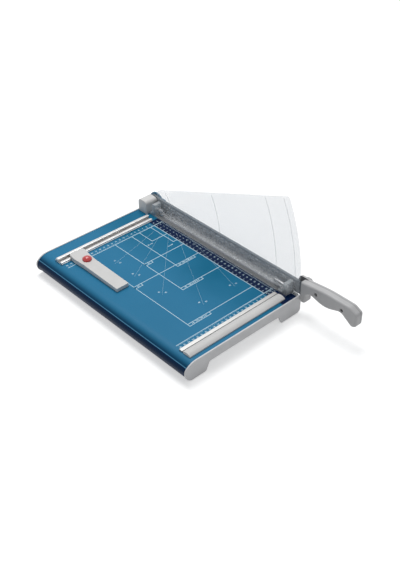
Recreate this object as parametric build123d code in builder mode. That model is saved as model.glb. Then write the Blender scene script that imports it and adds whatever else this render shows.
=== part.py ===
from build123d import *
from math import atan, cos, degrees, radians, sin, sqrt
import os

# Lever guillotine for sheets up to A4 and for business cards, in millimetres.
#
# The sizes below are counted from three datum planes that meet on the table's top, where the
# cutting edge meets the paper stop: x is 0 at the cutting edge and falls to the left over the
# table, y is 0 at the stop's face and falls towards the handle, z is 0 on the table's top.

# --- fits -----------------------------------------------------------------------------------
shaft_fit = 0.05         # radial clearance of a turning or tapped fit
screw_fit = 0.1          # radial clearance of a screw in its hole
slide_fit = 0.25         # each side of a moulding that slides
shear_gap = 0.1          # between the two blades' flat faces

# --- cut ------------------------------------------------------------------------------------
cutting_length = 338.0   # stop face to the front stop

# --- table ----------------------------------------------------------------------------------
front_margin = 37.0      # front stop to the front end of the sheet
table_front = cutting_length + front_margin
table_back = 55.3        # stop face to the rear end of the sheet
flat_width = 262.0       # cutting edge to where the left edge starts to roll
roll_width = 26.0        # the rolled edge stands out this far
roll_drop = 17.5         # and is widest this far below the top
roll_shoulder = 12.0     # radius where it turns down
roll_under = 20.5        # radius of the lower part of the roll
roll_turn = 78.0         # degrees that the roll turns in under the table
sheet = 1.5
skirt_depth = 30.0       # folded right edge
deck_height = 40.0       # table's top above the desk

# --- end caps -------------------------------------------------------------------------------
cap_wall = 3.0
cap_lip = 1.2            # stands proud of the sheet all round
pad_standoff = 2.0       # rubber feet below the caps
arch_height = 20.0       # desk to the arch of an end cap
right_foot_width = 50.0
left_foot_width = 48.0
foot_slant = 8.0         # inner side of a foot leans by this much
foot_corner = 9.0
boss_radius = 12.0       # foot pillar that takes pad and screw
boss_inset = 19.0        # pillar's axis from the end of the sheet
pad_radius = 9.0
pad_thickness = 5.0

# --- frame under the table ------------------------------------------------------------------
brace_depth = 12.5
brace_web = 18.0
brace_flange = 8.0
brace_gauge = 1.5
brace_relief = 4.5       # radius of the holes that clear screw heads
rail_thickness = 6.0     # bar behind the skirt
rail_depth = 24.0

# --- paper stops ----------------------------------------------------------------------------
stop_overhang = 5.0      # of both stops past the flat of the table, on the left
stop_left = flat_width + stop_overhang
back_rail_right = 37.0
low_bar_width = 7.2
low_bar_height = 5.0
groove_width = 3.8
groove_floor = 1.5
high_rail_width = 6.3
high_rail_height = 9.0
back_rail_slope = 6.2    # width of the sloping back
front_rail_right = 30.0
strip_width = 8.0
strip_height = 3.0
bar_gap = 1.5
bar_width = 18.5
bar_side = 2.4
bar_crown = 5.6

# --- blades ---------------------------------------------------------------------------------
lower_blade_thickness = 8.0
lower_blade_depth = 24.0
lower_blade_overhang = 34.0     # past the front stop
lower_blade_front = cutting_length + lower_blade_overhang
lower_blade_back = 22.0
upper_blade_thickness = 3.0
upper_blade_overhang = 22.0
upper_blade_front = cutting_length + upper_blade_overhang
upper_blade_back = 5.0
upper_blade_top = 22.0
upper_blade_drop = 14.0  # cutting edge below the table's top when the lever is down
bevel_height = 7.0
bevel_land = 0.6
blade_screw_first = 25.0
blade_screw_last = 6.5   # from the blade's front end
blade_screw_count = 4
lower_screw_count = 5
lower_screw_first = 18.0
lower_screw_last = 14.0
lower_screw_depth = 12.0

# --- pivot ----------------------------------------------------------------------------------
pivot_y = 40.0
pivot_z = 13.0
pivot_bolt = 10.0
bush_wall = 2.0
lug_radius = 9.0
lug_recess = 1.2         # lug's face behind the cutting plane
bracket_width = 28.0
bracket_depth = 32.0
beam_thickness = 5.0
beam_top = 26.0
beam_bottom = 2.0
beam_overhang = 26.0
beam_front = cutting_length + beam_overhang
eye_radius = 15.0
doubler_radius = 19.5
doubler_thickness = 3.0
disc_spring_thickness = 1.1
disc_spring_radius = 9.0
disc_spring_count = 2
pivot_nut_height = 6.0

# --- handle ---------------------------------------------------------------------------------
grip_length = 130.8      # near half, from its start to the end of the grip
near_half = 12.6
far_half = 7.0
seam_x = 5.6             # the halves meet at the middle of the tang
root_boss = 9.4          # thickening of the far half at its root
boss_round = 4.9
grip_round = 4.0
tang_fit = 0.1
tang_top = 34.5
tang_height = 13.0
guard_to_handle = 7.0    # radial gap between the guard's front edge and the near half
handle_screw_spots = ((0.285, 27.1), (0.742, 26.2))   # share of the grip's length, z

# --- guard ----------------------------------------------------------------------------------
guard_thickness = 3.0
guard_x = 3.5            # inner face left of the cutting plane
guard_gap = 0.4          # under the foot flange, for the paper
guard_lift = 6.0
guard_rear = 24.5
guard_rear_height = 55.6
guard_rear_reach = 12.0  # where the top edge starts, from the stop face
guard_slope = 0.403      # rise of the top edge
guard_arc_y = 36.0
guard_arc_z = 12.0
guard_reach = 74.5       # of its front edge past the front stop, at the pivot's height
guard_radius = cutting_length + guard_reach
guard_overhang = 36.0
guard_front = cutting_length + guard_overhang
guard_corner = 18.0      # rounding of the rear top corner
guard_tip = 5.0          # and of the front one
rib_radii = (60.4, 204.0, guard_radius - 58, guard_radius - 11)
rib_starts = (3.0, 3.0, 3.0, 15.0)
rib_width = 1.6
rib_height = 1.6
flange_width = 19.5
flange_rear = 9.0
flange_gap = 1.0         # flange's front end behind the front stop
flange_front = cutting_length - flange_gap
flange_bend = 5.0
strip_inset = 3.0        # clamp strip from the flange's free edge
strip_band = 8.0
strip_depth = 1.2
strip_proud = 0.1
rear_bracket_length = 18.5
front_bracket_length = 22.5
rear_bracket_start = 9.5
front_bracket_reach = 22.5
front_bracket_start = cutting_length + front_bracket_reach
guard_bracket_width = 18.0
guard_bracket_gap = 0.5
guard_bracket_height = 27.0
wedge_flat = 8.0
wedge_slope = 4.0
wedge_toe = 4.0
pin_radius = 2.0
pin_x = 12.0
pin_z = 14.0
barrel_radius = 4.5
barrel_length = 14.0
spring_radius = 2.6

# --- backstop -------------------------------------------------------------------------------
arm_inset = 24.0         # of the arm from the left end of the stops
arm_left = stop_left - arm_inset
arm_width = 28.5
arm_reach = 139.0
arm_tip = 8.0            # height at the tip; the top rises from there to the back of the head
arm_gap = 0.8
arm_corner = 1.5         # corners of the tip
arm_edge = 0.7           # rounding round the top
head_top = 10.6
head_flare = 4.5         # the head is this much wider on the right
head_lip = 2.0           # and on the left
head_right = arm_left - arm_width - head_flare
head_left = arm_left + head_lip
head_start = 36.0
head_back = 8.5
head_corner = 5.0
button_x = arm_left - 16
button_y = 28.0
button_radius = 9.25
button_top = 17.0
button_dome = 11.5       # radius of the domed top
button_travel = 2.0
button_floor = 3.0
shoe_length = 16.0
shoe_tab = 2.0

# --- hinge cover ----------------------------------------------------------------------------
cover_left = 28.5
cover_front = 29.0
cover_gap = 0.3          # to the rear end cap
cover_back = table_back - cover_gap
cover_height = 28.5
cover_wall = 1.6
cover_right = 1.1
cover_round = 8.0        # of the top's front and back corners
cover_edge = 1.3         # round the left end
cover_rim = 0.5          # bevel round the right end
cover_boss = 3.5
cover_boss_pitch = 17.0
cover_boss_height = 16.0

# --- screws ---------------------------------------------------------------------------------
m3 = 3.0
m4 = 4.0
m5 = 5.0
m6 = 6.0

# --- datum: the origin is at the middle of the whole machine's box, on the desk ----------------
left_reach = flat_width + roll_width + cap_lip
right_reach = seam_x + far_half + root_boss
near_start = pivot_y - guard_radius - guard_to_handle
handle_reach = grip_length - near_start
rear_reach = max(table_back + cap_wall, pivot_y + doubler_radius)
cut_x = (left_reach - right_reach) / 2
stop_y = (handle_reach - rear_reach) / 2
deck = Plane(origin=(cut_x, stop_y, deck_height))
side = Plane(deck.origin, x_dir=(0, 1, 0), z_dir=(1, 0, 0))
front = Plane(deck.origin, x_dir=(1, 0, 0), z_dir=(0, -1, 0))


def level(z):
    """Plane facing up; its sketches are drawn in (x, y)."""
    return deck.offset(z)


def section(x):
    """Plane facing the right; its sketches are drawn in (y, z)."""
    return side.offset(x)


def across(y):
    """Plane facing the front; its sketches are drawn in (x, z)."""
    return front.offset(-y)


def countersunk_screw(size, length):
    """Screw with its flat head's top at 0 and its shank going down."""
    with BuildPart() as screw:
        Cylinder(size / 2, length, align=(Align.CENTER, Align.CENTER, Align.MAX))
        Cone(size / 2, size, size / 2, align=(Align.CENTER, Align.CENTER, Align.MAX))
        with BuildSketch():
            RegularPolygon(size * 0.35, 6)
        extrude(amount=-size * 0.45, mode=Mode.SUBTRACT)
    return screw.part


def pan_screw(size, length):
    """Screw whose domed head stands on 0 and whose shank goes down."""
    with BuildPart() as screw:
        Cylinder(size / 2, length, align=(Align.CENTER, Align.CENTER, Align.MAX))
        Cylinder(size * 0.95, size * 0.6, align=(Align.CENTER, Align.CENTER, Align.MIN))
        fillet(screw.edges().group_by(Axis.Z)[-1], size * 0.25)
        with BuildSketch(Plane.XY.offset(size * 0.6)):
            RegularPolygon(size * 0.35, 6)
        extrude(amount=-size * 0.4, mode=Mode.SUBTRACT)
    return screw.part


def hex_nut(size, height):
    """Nut that stands on 0."""
    with BuildPart() as nut:
        with BuildSketch():
            RegularPolygon(size * 0.9, 6)
            Circle(size / 2 + shaft_fit, mode=Mode.SUBTRACT)
        extrude(amount=height)
        chamfer(nut.faces().sort_by(Axis.Z)[-1].outer_wire().edges(), size * 0.06)
    return nut.part


def coil(inner_radius, wire, length, turns):
    """Compression spring standing on 0, as rings joined by a thin web."""
    pitch = length / turns
    with BuildPart() as spring:
        with BuildSketch(Plane.XZ):
            with Locations((inner_radius + wire / 2, length / 2)):
                Rectangle(wire * 0.5, length)
            with Locations(*[(inner_radius + wire / 2, pitch * (i + 0.5)) for i in range(turns)]):
                Circle(wire / 2)
            with Locations((inner_radius + wire / 2, length / 2)):
                Rectangle(wire, length, mode=Mode.INTERSECT)
        revolve(axis=Axis.Z)
    return spring.part


os.makedirs("parts", exist_ok=True)


def save(builder, name):
    """Label a finished piece and write it to its own STEP file."""
    builder.part.label = name
    export_step(builder.part, f"parts/{name}.step")


def turned(points):
    """The same points with their direction reversed, for screws from the far side."""
    return [Location((a, b, 0), (0, 180, 0)) for a, b in points]


def corners_at(sketch, height):
    """Corners of an upright section that lie at one height."""
    return sketch.vertices().filter_by_position(Axis.Y, height - 0.1, height + 0.1)


# --- table: one folded sheet, rolled at the left and turned down at the right ------------------
foot_z = pad_standoff - deck_height
roll_left = -(flat_width + roll_width)
roll_end_x = roll_left + roll_under * (1 - cos(radians(roll_turn)))
roll_end_z = -roll_drop - roll_under * sin(radians(roll_turn))
roll_crown = ((roll_width - roll_shoulder) ** 2 + roll_drop ** 2 - roll_shoulder ** 2) / (
    2 * (roll_drop - roll_shoulder))
shoulder_turn = degrees(atan((roll_width - roll_shoulder) / (roll_crown - roll_drop)))
skirt_x = -lower_blade_thickness
below = -2 * deck_height

with BuildLine() as table_edge:
    Line((skirt_x, 0), (-flat_width, 0))
    CenterArc((-flat_width, -roll_crown), roll_crown, 90, shoulder_turn)
    CenterArc((roll_left + roll_shoulder, -roll_drop), roll_shoulder, 90 + shoulder_turn, 90 - shoulder_turn)
    CenterArc((roll_left + roll_under, -roll_drop), roll_under, 180, roll_turn)
    Line((roll_end_x, roll_end_z), (roll_end_x, below))
    Line((roll_end_x, below), (skirt_x, below))
    Line((skirt_x, below), (skirt_x, 0))

# Screws that come up through the table: (x, y) of each group.
back_rail_mid = low_bar_width + groove_width + high_rail_width / 2
back_rail_length = stop_left - back_rail_right
back_screws = [(-stop_left + back_rail_length * share, back_rail_mid) for share in (0.08, 0.5, 0.92)]
strip_mid = -(cutting_length + strip_width / 2)
bar_mid = -(cutting_length + strip_width + bar_gap + bar_width / 2)
front_rail_length = stop_left - front_rail_right
strip_screws = [(-stop_left + front_rail_length * share, strip_mid) for share in (0.12, 0.88)]
bar_screws = [(-stop_left + front_rail_length * share, bar_mid) for share in (0.08, 0.5, 0.92)]
cover_mid = (cover_front + cover_back) / 2
cover_screw_x = -(cover_left - cover_wall - cover_boss)
cover_screws = [(cover_screw_x, cover_mid + side_of * cover_boss_pitch / 2) for side_of in (-1, 1)]
rail_x = skirt_x - sheet - rail_thickness
rail_mid = rail_x + rail_thickness / 2
rear_toe = rear_bracket_start + rear_bracket_length
front_toe = -front_bracket_start + front_bracket_length
toe_inset = 3.4
toe_screws = [(rail_mid, rear_toe - toe_inset), (rail_mid, front_toe - toe_inset)]
lower_screw_pitch = (lower_blade_front - lower_screw_first - lower_screw_last) / (lower_screw_count - 1)
lower_spots = [(-lower_screw_first - i * lower_screw_pitch, -lower_screw_depth)
               for i in range(lower_screw_count)]
bracket_spots = [(pivot_y - 8, -10), (pivot_y + 8, -10), (pivot_y, -24)]

with BuildPart() as table_plate:
    with BuildSketch(across(-table_front)):
        make_face(table_edge.edges())
        offset(amount=-sheet, mode=Mode.SUBTRACT)
        with Locations((roll_end_x, -skirt_depth)):
            Rectangle(flat_width * 2, deck_height * 2, align=(Align.MIN, Align.MAX), mode=Mode.SUBTRACT)
        with Locations((roll_left, roll_end_z)):
            Rectangle(flat_width * 2, deck_height * 2, align=(Align.MIN, Align.MAX), mode=Mode.SUBTRACT)
    extrude(amount=-(table_front + table_back))
    with Locations(deck):
        with Locations(*back_screws, *bar_screws):
            Hole(m4 / 2 + screw_fit)
        with Locations(*strip_screws, *cover_screws, *toe_screws):
            Hole(m3 / 2 + screw_fit)
    with Locations(section(skirt_x)):
        with Locations(*lower_spots):
            Hole(m5 / 2 + screw_fit, depth=sheet * 2)
        with Locations(*bracket_spots):
            Hole(m6 / 2 + screw_fit, depth=sheet * 2)
save(table_plate, "table_plate")

# --- frame: two hat-section braces and the bar that the lower blade is screwed to ----------------
cap_centres = (boss_inset - table_front, table_back - boss_inset)
brace_left = -flat_width + 4
brace_right = rail_x - 1
boss_x = (-(right_foot_width + lower_blade_thickness) / 2, roll_end_x + left_foot_width / 2 - 4)
brace_bottom = -sheet - brace_depth

for brace_name, y in zip(("front_brace", "rear_brace"), cap_centres):
    with BuildPart() as brace:
        with BuildSketch(section(brace_left)):
            with Locations((y, -sheet)):
                Rectangle(brace_web, brace_depth, align=(Align.CENTER, Align.MAX))
                Rectangle(brace_web + 2 * brace_flange, brace_gauge, align=(Align.CENTER, Align.MAX))
                Rectangle(brace_web - 2 * brace_gauge, brace_depth - brace_gauge,
                          align=(Align.CENTER, Align.MAX), mode=Mode.SUBTRACT)
        extrude(amount=brace_right - brace_left)
        with Locations(level(-sheet)):
            with Locations(*strip_screws, *cover_screws):
                Hole(brace_relief, depth=brace_gauge)
        with Locations(level(brace_bottom + brace_gauge)):
            with Locations(*[(x, y) for x in boss_x]):
                Hole(m4 / 2 + screw_fit, depth=brace_gauge)
    save(brace, brace_name)

with BuildPart() as blade_rail:
    with BuildSketch(section(rail_x)):
        with Locations(((lower_blade_back - lower_blade_front + bracket_width) / 2, -sheet)):
            Rectangle(lower_blade_front + lower_blade_back + bracket_width, rail_depth,
                      align=(Align.CENTER, Align.MAX))
    extrude(amount=rail_thickness)
    with Locations(section(rail_x + rail_thickness)):
        with Locations(*lower_spots):
            Hole(m5 / 2 + shaft_fit, depth=rail_thickness)
        with Locations(*bracket_spots):
            Hole(m6 / 2 + shaft_fit, depth=rail_thickness)
    with Locations(level(-sheet)):
        with Locations(*toe_screws):
            Hole(m3 / 2 + shaft_fit, depth=9)
save(blade_rail, "blade_rail")

# --- end caps: a wall that stands proud of the sheet, on two feet with an arch between -----------
arch_z = arch_height - deck_height
right_foot_x = -right_foot_width
left_foot_x = roll_left + left_foot_width
pad_recess = pad_thickness - pad_standoff
boss_top = brace_bottom
foot_floor = 3.0
foot_inner = boss_inset + boss_radius
hook_depth = 12.0
hook_wall = 2.5


def end_cap(y_face, outward):
    """Cap whose wall stands on the plane y_face and points outward (-1 front, 1 rear)."""
    y_boss = y_face - outward * boss_inset
    with BuildPart() as cap:
        with BuildSketch(across(y_face)) as wall:
            make_face(table_edge.edges())
            with Locations((skirt_x * 2, 0)):
                Rectangle(-skirt_x * 2, -below, align=(Align.MIN, Align.MAX))
            offset(amount=cap_lip)
            with Locations((0, foot_z)):
                Rectangle(flat_width * 3, -below, align=(Align.CENTER, Align.MAX), mode=Mode.SUBTRACT)
            with BuildLine():
                Polyline((right_foot_x, foot_z * 2), (right_foot_x, foot_z),
                         (right_foot_x - foot_slant, arch_z), (left_foot_x + foot_slant, arch_z),
                         (left_foot_x, foot_z), (left_foot_x, foot_z * 2), close=True)
            make_face(mode=Mode.SUBTRACT)
            bottom = wall.vertices().group_by(Axis.Y)[0].sort_by(Axis.X)
            fillet(bottom[1:3] + corners_at(wall, arch_z), foot_corner / 2)
            fillet(wall.vertices().group_by(Axis.Y)[0].sort_by(Axis.X)[-1], foot_corner)
        extrude(amount=-outward * cap_wall)
        outer = cap.faces().sort_by(Axis.Y)[0 if outward < 0 else -1]
        fillet(outer.outer_wire().edges(), cap_lip * 0.7)
        # Hook that follows the inside of the rolled edge.
        with BuildSketch(across(y_face)):
            make_face(table_edge.edges())
            offset(amount=-(sheet + slide_fit), mode=Mode.REPLACE)
            offset(amount=-hook_wall, mode=Mode.SUBTRACT)
            with Locations((-flat_width + 2, 0)):
                Rectangle(flat_width * 2, -below * 2, align=(Align.MIN, Align.CENTER), mode=Mode.SUBTRACT)
            with Locations((-flat_width, -roll_drop)):
                Rectangle(flat_width, -below, align=(Align.CENTER, Align.MAX), mode=Mode.SUBTRACT)
        extrude(amount=outward * hook_depth)
        # Feet: a floor and a pillar up to the brace, with a recess for the pad.
        with BuildSketch(level(foot_z)):
            with Locations(*[(x, y_face - outward * foot_inner / 2) for x in boss_x]):
                Rectangle(boss_radius * 2, foot_inner)
        extrude(amount=foot_floor)
        with BuildSketch(level(foot_z)):
            with Locations(*[(x, y_boss) for x in boss_x]):
                Circle(boss_radius)
        extrude(amount=boss_top - foot_z)
        with BuildSketch(level(foot_z)):
            with Locations(*[(x, y_boss) for x in boss_x]):
                Circle(pad_radius)
        extrude(amount=pad_recess, mode=Mode.SUBTRACT)
        with Locations(level(foot_z + pad_recess)):
            with Locations(*turned([(x, y_boss) for x in boss_x])):
                CounterSinkHole(m4 / 2 + screw_fit, m4, counter_sink_angle=90)
    return cap


front_end_cap = end_cap(-table_front, -1)
save(front_end_cap, "front_end_cap")
rear_end_cap = end_cap(table_back, 1)
save(rear_end_cap, "rear_end_cap")

boss_spots = [(x, y) for x in boss_x for y in cap_centres]

with BuildPart() as rubber_feet:
    with BuildSketch(level(-deck_height)):
        with Locations(*boss_spots):
            Circle(pad_radius)
    extrude(amount=pad_thickness)
    chamfer(rubber_feet.edges().group_by(Axis.Z)[0], 0.8)
save(rubber_feet, "rubber_feet")

cap_screw_length = boss_top - foot_z - pad_recess + brace_gauge + 3.6
with BuildPart() as end_cap_screws:
    with Locations(level(foot_z + pad_recess)):
        with Locations(*turned(boss_spots)):
            add(countersunk_screw(m4, cap_screw_length))
save(end_cap_screws, "end_cap_screws")

with BuildPart() as end_cap_nuts:
    with Locations(level(brace_bottom + brace_gauge)):
        with Locations(*boss_spots):
            add(hex_nut(m4, 3.2))
save(end_cap_nuts, "end_cap_nuts")

# --- paper stops -----------------------------------------------------------------------------
high_y = low_bar_width + groove_width

with BuildPart() as back_rail:
    with BuildSketch(section(-stop_left)) as profile:
        with BuildLine():
            Polyline((0, 0), (0, 2), (0.8, 2.5), (0.8, low_bar_height), (low_bar_width, low_bar_height),
                     (low_bar_width, groove_floor), (high_y, groove_floor), (high_y, high_rail_height),
                     (high_y + high_rail_width, high_rail_height),
                     (high_y + high_rail_width + back_rail_slope, 1),
                     (high_y + high_rail_width + back_rail_slope, 0), close=True)
        make_face()
        fillet(corners_at(profile, low_bar_height) + corners_at(profile, high_rail_height), 1.2)
    extrude(amount=back_rail_length)
    with Locations(deck):
        with Locations(*turned(back_screws)):
            Hole(m4 / 2 + shaft_fit, depth=6)
save(back_rail, "back_rail")

with BuildPart() as front_rail_strip:
    with BuildSketch(section(-stop_left)) as profile:
        with Locations((-cutting_length, 0)):
            Rectangle(strip_width, strip_height, align=(Align.MAX, Align.MIN))
        fillet(profile.vertices().group_by(Axis.Y)[-1], 0.8)
    extrude(amount=front_rail_length)
    with Locations(deck):
        with Locations(*turned(strip_screws)):
            Hole(m3 / 2 + shaft_fit, depth=2.2)
save(front_rail_strip, "front_rail_strip")

bar_back = -(cutting_length + strip_width + bar_gap)
with BuildPart() as front_rail_bar:
    with BuildSketch(section(-stop_left)) as profile:
        with BuildLine():
            Polyline((bar_back, bar_side * 1.4), (bar_back, 0), (bar_back - bar_width, 0),
                     (bar_back - bar_width, bar_side))
            ThreePointArc((bar_back - bar_width, bar_side), (bar_mid, bar_crown), (bar_back, bar_side * 1.4))
        make_face()
        fillet(profile.vertices().group_by(Axis.Y)[1:], 0.8)
    extrude(amount=front_rail_length)
    with Locations(deck):
        with Locations(*turned(bar_screws)):
            Hole(m4 / 2 + shaft_fit, depth=4)
    ends = front_rail_bar.faces().filter_by(Axis.X)
    chamfer(ends.edges().filter_by_position(Axis.Z, deck_height + 1, deck_height + 9), 0.6)
save(front_rail_bar, "front_rail_bar")

with BuildPart() as rail_screws:
    with Locations(level(-sheet)):
        with Locations(*turned(back_screws)):
            add(pan_screw(m4, sheet + 5.5))
        with Locations(*turned(bar_screws)):
            add(pan_screw(m4, sheet + 3.5))
        with Locations(*turned(strip_screws)):
            add(pan_screw(m3, sheet + 2))
save(rail_screws, "rail_screws")

# --- lower blade and the bracket that carries the lever -------------------------------------------
with BuildPart() as lower_blade:
    with BuildSketch(section(skirt_x)):
        with Locations((lower_blade_back, 0)):
            Rectangle(lower_blade_front + lower_blade_back, lower_blade_depth,
                      align=(Align.MAX, Align.MAX))
    extrude(amount=lower_blade_thickness)
    chamfer(lower_blade.faces().sort_by(Axis.X)[-1].edges().sort_by(Axis.Z)[0], 1)
    with Locations(section(0)):
        with Locations(*lower_spots):
            CounterSinkHole(m5 / 2 + screw_fit, m5, counter_sink_angle=90)
save(lower_blade, "lower_blade")

with BuildPart() as lower_blade_screws:
    with Locations(section(0)):
        with Locations(*lower_spots):
            add(countersunk_screw(m5, lower_blade_thickness + sheet + rail_thickness))
save(lower_blade_screws, "lower_blade_screws")

with BuildPart() as pivot_bracket:
    with BuildSketch(section(skirt_x)) as lug:
        with Locations((pivot_y, pivot_z)):
            Circle(lug_radius)
            Rectangle(lug_radius * 2, pivot_z + bracket_depth / 2, align=(Align.CENTER, Align.MAX))
        with Locations((pivot_y, -1)):
            Rectangle(bracket_width, bracket_depth, align=(Align.CENTER, Align.MAX))
        fillet(lug.vertices().group_by(Axis.Y)[0], 4)
        with Locations((pivot_y, pivot_z)):
            Circle(pivot_bolt / 2 + shaft_fit, mode=Mode.SUBTRACT)
    extrude(amount=lower_blade_thickness - lug_recess)
    with Locations(section(-lug_recess)):
        with Locations(*bracket_spots):
            CounterSinkHole(m6 / 2 + screw_fit, m6, counter_sink_angle=90)
save(pivot_bracket, "pivot_bracket")

with BuildPart() as pivot_bracket_screws:
    with Locations(section(-lug_recess)):
        with Locations(*bracket_spots):
            add(countersunk_screw(m6, lower_blade_thickness - lug_recess + sheet + rail_thickness))
save(pivot_bracket_screws, "pivot_bracket_screws")

# --- pivot: a bolt through the bracket, with the lever between a spacer and disc springs -----------
beam_x = shear_gap + upper_blade_thickness
doubler_x = beam_x + beam_thickness
spring_x = doubler_x + doubler_thickness + shaft_fit
nut_x = spring_x + disc_spring_thickness * disc_spring_count
bolt_end = nut_x + pivot_nut_height + 1
bolt_head = 6.4
spacer_radius = lug_radius - 0.5
bush_radius = pivot_bolt / 2 + bush_wall

with BuildPart() as pivot_bolt_part:
    with BuildSketch(section(skirt_x - bolt_head)):
        with Locations((pivot_y, pivot_z)):
            RegularPolygon(pivot_bolt * 0.9, 6)
    extrude(amount=bolt_head)
    with BuildSketch(section(skirt_x)):
        with Locations((pivot_y, pivot_z)):
            Circle(pivot_bolt / 2)
    extrude(amount=bolt_end - skirt_x)
    chamfer(pivot_bolt_part.edges().group_by(Axis.X)[-1], 1)
save(pivot_bolt_part, "pivot_bolt")


def ring(outer, inner, x_start, x_end):
    """Plain ring about the pivot's axis."""
    with BuildPart() as made:
        with BuildSketch(section(x_start)):
            with Locations((pivot_y, pivot_z)):
                Circle(outer)
                Circle(inner, mode=Mode.SUBTRACT)
        extrude(amount=x_end - x_start)
    return made


bolt_bore = pivot_bolt / 2 + shaft_fit
pivot_spacer = ring(spacer_radius, bolt_bore, -lug_recess, beam_x - shaft_fit)
save(pivot_spacer, "pivot_spacer")
pivot_bush = ring(bush_radius, bolt_bore, beam_x, doubler_x + doubler_thickness)
save(pivot_bush, "pivot_bush")

with BuildPart() as pivot_springs:
    for i in range(disc_spring_count):
        with BuildSketch(section(spring_x + i * disc_spring_thickness)):
            with Locations((pivot_y, pivot_z)):
                Circle(disc_spring_radius - i * 0.6)
                Circle(bolt_bore, mode=Mode.SUBTRACT)
        extrude(amount=disc_spring_thickness)
save(pivot_springs, "pivot_springs")

with BuildPart() as pivot_nut:
    with Locations(section(nut_x)):
        with Locations((pivot_y, pivot_z)):
            add(hex_nut(pivot_bolt, pivot_nut_height))
save(pivot_nut, "pivot_nut")

# --- hinge cover over the bracket -----------------------------------------------------------------


def cover_form(inset):
    """Hood with a rounded top, inset from the cover's outer faces and standing on the table."""
    with BuildPart() as form:
        with BuildSketch(section(inset - cover_left)) as hood:
            with Locations((cover_mid, 0)):
                Rectangle(cover_back - cover_front - 2 * inset, cover_height - inset,
                          align=(Align.CENTER, Align.MIN))
            fillet(hood.vertices().group_by(Axis.Y)[-1], cover_round - inset)
        extrude(amount=cover_left + cover_right - 2 * inset)
    return form.part


with BuildPart() as hinge_cover:
    add(cover_form(0))
    fillet(hinge_cover.faces().sort_by(Axis.X)[0].edges().sort_by(Axis.Z)[1:], cover_edge)
    chamfer(hinge_cover.faces().sort_by(Axis.X)[-1].edges().sort_by(Axis.Z)[1:], cover_rim)
    add(cover_form(cover_wall), mode=Mode.SUBTRACT)
    with BuildSketch(section(skirt_x)):
        with Locations((pivot_y, pivot_z)):
            Circle(spacer_radius + slide_fit)
    extrude(amount=cover_right - skirt_x, mode=Mode.SUBTRACT)
    with BuildSketch(deck):
        with Locations(*cover_screws):
            Circle(cover_boss)
            Circle(m3 / 2 + shaft_fit, mode=Mode.SUBTRACT)
    extrude(amount=cover_boss_height)
save(hinge_cover, "hinge_cover")

with BuildPart() as hinge_cover_screws:
    with Locations(level(-sheet)):
        with Locations(*turned(cover_screws)):
            add(pan_screw(m3, sheet + 12))
save(hinge_cover_screws, "hinge_cover_screws")

# --- lever: beam, blade and the eye's doubler -------------------------------------------------------
blade_screw_pitch = (upper_blade_front - blade_screw_first - blade_screw_last) / (blade_screw_count - 1)
blade_spots = [(-blade_screw_first - i * blade_screw_pitch, pivot_z) for i in range(blade_screw_count)]


def grip_at(share):
    """y of a place on the grip, 0 at its start and 1 at its end."""
    return near_start - grip_length * share


handle_spots = [(grip_at(share), z) for share, z in handle_screw_spots]
tang_end = grip_at(0.782)
tang_bottom = tang_top - tang_height
rivet_spots = [(pivot_y - 24, pivot_z + 7), (pivot_y - 24, pivot_z - 7)]
rivet_radius = 2.0

with BuildLine() as tang_edge:
    Polyline((-beam_front, -beam_bottom), (-beam_front, beam_top), (-beam_front - 8, beam_top + 1),
             (-beam_front - 28, tang_top - 2), (tang_end, tang_top), (tang_end, tang_bottom),
             (grip_at(0.19), tang_bottom + 1), (grip_at(0.073), 14), (-beam_front - 22, 1), close=True)

with BuildPart() as lever_beam:
    with BuildSketch(section(beam_x)) as outline:
        with Locations((pivot_y, pivot_z)):
            Circle(eye_radius)
        with Locations((pivot_y, -beam_bottom)):
            Rectangle(pivot_y + beam_front, beam_top + beam_bottom, align=(Align.MAX, Align.MIN))
        make_face(tang_edge.edges())
        with Locations((pivot_y, pivot_z)):
            Circle(bush_radius, mode=Mode.SUBTRACT)
        with Locations(*blade_spots):
            Circle(m5 / 2 + screw_fit, mode=Mode.SUBTRACT)
        with Locations(*handle_spots):
            Circle(m3 / 2 + screw_fit, mode=Mode.SUBTRACT)
        with Locations(*rivet_spots):
            Circle(rivet_radius, mode=Mode.SUBTRACT)
    extrude(amount=beam_thickness)
save(lever_beam, "lever_beam")

with BuildPart() as upper_blade:
    with BuildSketch(section(shear_gap)) as outline:
        with Locations((upper_blade_back, -upper_blade_drop)):
            Rectangle(upper_blade_front + upper_blade_back, upper_blade_top + upper_blade_drop,
                      align=(Align.MAX, Align.MIN))
        chamfer(outline.vertices().group_by(Axis.Y)[0].sort_by(Axis.X)[0], 8)
    extrude(amount=upper_blade_thickness)
    with BuildSketch(across(upper_blade_back)):
        with BuildLine():
            Polyline((shear_gap + bevel_land, -upper_blade_drop), (beam_x, -upper_blade_drop),
                     (beam_x, bevel_height - upper_blade_drop), close=True)
        make_face()
    extrude(amount=upper_blade_front + upper_blade_back, mode=Mode.SUBTRACT)
    with Locations(section(shear_gap)):
        with Locations(*turned(blade_spots)):
            CounterSinkHole(m5 / 2 + screw_fit, m5, counter_sink_angle=90)
save(upper_blade, "upper_blade")

with BuildPart() as upper_blade_screws:
    with Locations(section(shear_gap)):
        with Locations(*turned(blade_spots)):
            add(countersunk_screw(m5, upper_blade_thickness + beam_thickness + 4))
save(upper_blade_screws, "upper_blade_screws")

with BuildPart() as upper_blade_nuts:
    with Locations(section(doubler_x)):
        with Locations(*blade_spots):
            add(hex_nut(m5, 3.5))
save(upper_blade_nuts, "upper_blade_nuts")

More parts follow.
